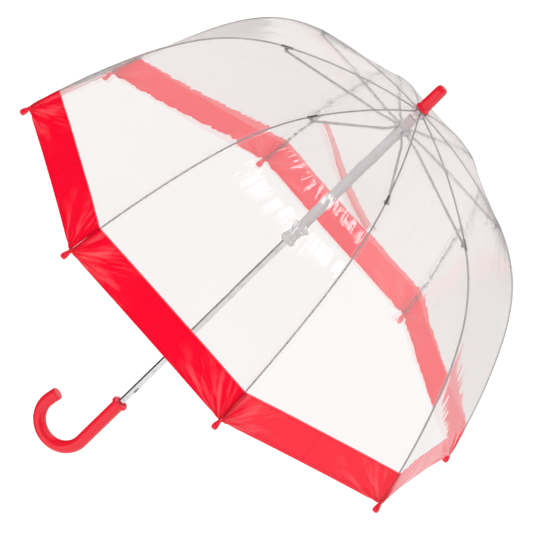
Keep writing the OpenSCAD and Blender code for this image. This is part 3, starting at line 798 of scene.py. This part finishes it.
# ---------------------------------------------------------------- runner
BORE, WIDE_BORE = 0.0042, 0.0053  # at the two bearings, and between them
prof = fillet([(BORE, LOW, 0), (0.0098, LOW, 0.0008), (0.0100, LOW + 0.0030, 0.0010),
               (0.0079, LOW + 0.0070, 0.003), (0.0077, LOW + 0.0190, 0.003),
               (0.0118, LOW + 0.0228, 0.0010), (0.0120, LOW + 0.0250, 0.0008),
               (0.0078, LOW + 0.0265, 0.0008), (0.0067, LOW + 0.0280, 0.0006),
               (0.0065, RIM + 0.3075, 0.0005), (BORE, RIM + 0.3080, 0.0003),
               (BORE, RIM + 0.2960, 0), (WIDE_BORE, RIM + 0.2950, 0),
               (WIDE_BORE, LOW + 0.0220, 0), (WIDE_BORE, LOW + 0.0205, 0),
               (WIDE_BORE, LOW + 0.0110, 0), (BORE, LOW + 0.0100, 0)])
v, f = lathe(prof)
# keyway in the bore over the catches; part.scad's window through the collar isn't drawn
KEYWAY_R, KEYWAY_HALF, KEYWAY_TOP = 0.00575, 0.3, LOW + 0.0215
for i, (x, y, z) in enumerate(v):
    off = (math.atan2(y, x) - CATCH_AZ + math.pi) % (2 * math.pi) - math.pi
    rad = math.hypot(x, y)
    if rad < WIDE_BORE + 0.0001 and abs(off) < KEYWAY_HALF and z < KEYWAY_TOP:
        v[i] = (x * KEYWAY_R / rad, y * KEYWAY_R / rad, z)
b = Build().add(v, f)
# star head: a closed disc with a slot for each stretcher's eye
SLOT_FLOOR, STAR_R, SLOT_HALF = 0.0074, 0.0120, 0.0014
d0, d1 = math.asin(SLOT_HALF / SLOT_FLOOR), math.asin(SLOT_HALF / STAR_R)
star = []
for k in range(8):
    a0 = PITCH * k
    # slot floor, then the rim up to the next slot
    star += [(SLOT_FLOOR * math.cos(a), SLOT_FLOOR * math.sin(a)) for a in (a0 - d0, a0 + d0)]
    star += [(STAR_R * math.cos(a), STAR_R * math.sin(a))
             for a in np.linspace(a0 + d1, a0 + PITCH - d1, 7)]
b.add(*plate(star, STAR[1] - 0.003, STAR[1] + 0.003, 0.0005))
o = b.make("runner_moulding", [milk])
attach(o, "runner")
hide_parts("runner")

# ---------------------------------------------------------------- strap
# its middle line's four Bezier points on the gore: across, and above the tips along the rib
STRAP = np.array([[-0.0335, 0.046], [0.038, 0.059], [0.063, 0.089], [0.1105, 0.107]])
STRAP_AZ = rib_az(6) + HALF


def on_gore(q, off):
    """Point of the flat gore: across from its middle, and above the tips along the rib."""
    r, z, _ = rib_rz(RIB - q[:, 1], off)
    return np.stack([r * math.cos(HALF), q[:, 0], z], -1)


u = np.linspace(0.03, 1, 90)
c = u[:, None]
mid = ((1 - c)**3 * STRAP[0] + 3 * c * (1 - c)**2 * STRAP[1] + 3 * c**2 * (1 - c) * STRAP[2]
       + c**3 * STRAP[3])
way = np.gradient(mid, axis=0)
way /= np.linalg.norm(way, axis=1)[:, None]
perp = np.stack([-way[:, 1], way[:, 0]], -1)
# half width, with a round end; height over the rib's line; and twist
round_end = np.sqrt(np.clip(1 - ((u - 0.975) / 0.025).clip(0, 1)**2, 0.03, 1))
half_w = (0.0055 - 0.0016 * u) * round_end
lift = (0.0028 + 0.0008 * np.clip((u - 0.03) / 0.1, 0, 1)
        + 0.0008 * np.sin(9 * u) * np.sin(math.pi * u))
twist = np.radians(20) * np.sin(math.pi * u * 1.6) * np.sin(math.pi * u)
rows = []
cols = np.linspace(-1, 1, 9)
for c in cols:
    q = mid + perp * (half_w * c * np.cos(twist))[:, None]
    curl = 0.0002 * c * c * np.sin(30 * u)
    rows.append(on_gore(q, lift + half_w * c * np.sin(twist) + curl))
P = np.stack(rows, 1)
f = [(a, d, c, b) for a, b, c, d in grid(*P.shape[:2])]
length = float(np.linalg.norm(np.diff(P[:, 4], axis=0), axis=1).sum())
uv = [(0.4 + length * a, 0.2 + 0.005 * b) for a in u for b in cols]
b = Build().add(P, f, 0, Matrix.Rotation(STRAP_AZ, 4, "Z"), uv=uv)
o = b.make("tie_strap_piece", [strap_film], sharp=0)
mod = o.modifiers.new("thickness", "SOLIDIFY")
mod.thickness = 0.0004
mod.offset = 0
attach(o, "rib_outer_7")
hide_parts("tie_strap")
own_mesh(o)

# ---------------------------------------------------------------- the CAD nodes that show
for name, mat in (("notch_wire", strip), ("runner_wire", strip), ("upper_catch", crimp),
                  ("lower_catch", strip), ("top_notch", milk)):
    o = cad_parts[name]
    o.data.materials.clear()
    o.data.materials.append(mat)

# ---------------------------------------------------------------- studio
BRIGHT_SIDE = Vector((0.95, 0.31, 0.0))
DARK_SIDE = Vector((-0.766, 0.643, 0.0))


def along(t, way, axis):
    """How far a direction points along axis."""
    dot = node(t, "ShaderNodeVectorMath", [(0, way)], p_operation="DOT_PRODUCT")
    dot.inputs[1].default_value = axis
    return dot.outputs["Value"]


def mirrored(t, way):
    """What shiny things see: a dark room, with white walls to the right and behind."""
    stops = [(0.0, grey(0.05)), (0.08, grey(0.3)), (0.3, grey(0.95)), (1.0, grey(0.95))]
    return ramp(t, along(t, way, BRIGHT_SIDE), stops)


def floor():
    m, t, out = material("floor")
    co = node(t, "ShaderNodeTexCoord").outputs["Object"]
    col = ramp(t, noise(t, co, 3.0, 4.0), [(0.3, grey(0.86)), (0.7, grey(0.88))])
    d = node(t, "ShaderNodeBsdfDiffuse", [("Color", col)])
    e = node(t, "ShaderNodeEmission", Color=grey(1.0), Strength=0.5)
    plain = node(t, "ShaderNodeAddShader", [(0, d.outputs[0]), (1, e.outputs[0])])
    # shiny things see a dark sector of it
    flat = node(t, "ShaderNodeVectorMath", [(0, co)], p_operation="MULTIPLY")
    flat.inputs[1].default_value = (1, 1, 0)
    way = node(t, "ShaderNodeVectorMath", [(0, flat.outputs[0])], p_operation="NORMALIZE")
    dark = along(t, way.outputs[0], DARK_SIDE)
    tone = ramp(t, dark, [(0.5, grey(0.9)), (0.62, grey(0.05))])
    far = node(t, "ShaderNodeEmission", [("Color", tone)], Strength=1.0)
    rays = node(t, "ShaderNodeLightPath").outputs
    # rays bent by the clear film count as glossy too, and they see the plain floor
    shiny = math_node(t, "SUBTRACT", rays["Is Glossy Ray"], rays["Is Transmission Ray"], clamp=True)
    t.links.new(mix_shader(t, shiny, plain, far).outputs[0], out.inputs[0])
    me = bpy.data.meshes.new("floor")
    q, z = 14.0, -1.1
    me.from_pydata([(-q, -q, z), (q, -q, z), (q, q, z), (-q, q, z)], [], [(0, 1, 2, 3)])
    me.materials.append(m)
    o = bpy.data.objects.new("floor", me)
    scene.collection.objects.link(o)


floor()
world = bpy.data.worlds.new("studio")
scene.world = world
world.use_nodes = True
t = world.node_tree
t.nodes.clear()
out = t.nodes.new("ShaderNodeOutputWorld")
co = node(t, "ShaderNodeTexCoord").outputs["Generated"]
rays = node(t, "ShaderNodeLightPath").outputs
seen = math_node(t, "MAXIMUM", rays["Is Camera Ray"], rays["Is Transmission Ray"])
white = node(t, "ShaderNodeBackground", Color=grey(1.0), Strength=1.0)
soft = node(t, "ShaderNodeBackground", Color=grey(1.0), Strength=0.62)
room = node(t, "ShaderNodeBackground", [("Color", mirrored(t, co))], Strength=1.0)
mix = mix_shader(t, rays["Is Glossy Ray"], soft, room)
t.links.new(mix_shader(t, seen, mix, white).outputs[0], out.inputs[0])


def lamp(name, at, target, size, power, shiny=True):
    d = bpy.data.lights.new(name, "AREA")
    d.shape = "RECTANGLE"
    d.size, d.size_y = size
    d.energy = power
    o = bpy.data.objects.new(name, d)
    scene.collection.objects.link(o)
    o.location = at
    o.rotation_euler = (Vector(target) - Vector(at)).to_track_quat("-Z", "Y").to_euler()
    o.visible_glossy = shiny


lamp("strip_1", (-0.72, -0.83, 2.61), (-0.04, -0.21, 0.5), (0.14, 0.42), 1.7)
lamp("strip_2", (-1.07, -1.58, 2.02), (-0.03, -0.24, 0.47), (0.14, 0.28), 1.0)
lamp("strip_3", (-0.96, -1.68, 2.0), (-0.1, -0.22, 0.46), (0.012, 0.5), 0.25)
lamp("front", (-1.2, -2.6, 1.6), (0, 0, 0.3), (1.4, 1.4), 30, False)
lamp("left", (-2.6, 0.6, 1.2), (0, 0, 0.3), (1.2, 1.2), 10, False)

cam = bpy.data.cameras.new("camera")
cam.sensor_width = 36
cam.lens = 290.847
cam.clip_end = 50
o = bpy.data.objects.new("camera", cam)
scene.collection.objects.link(o)
o.matrix_world = Matrix((
    (0.745548, -0.615548, -0.255456, -1.32713),
    (0.071149, 0.454630, -0.887830, -4.63036),
    (0.662649, 0.643748, 0.382749, 2.29917),
    (0, 0, 0, 1)))
scene.camera = o
scene.view_settings.view_transform = "Standard"
scene.view_settings.look = "None"
scene.cycles.transparent_max_bounces = 24
scene.cycles.transmission_bounces = 16
scene.cycles.max_bounces = 20
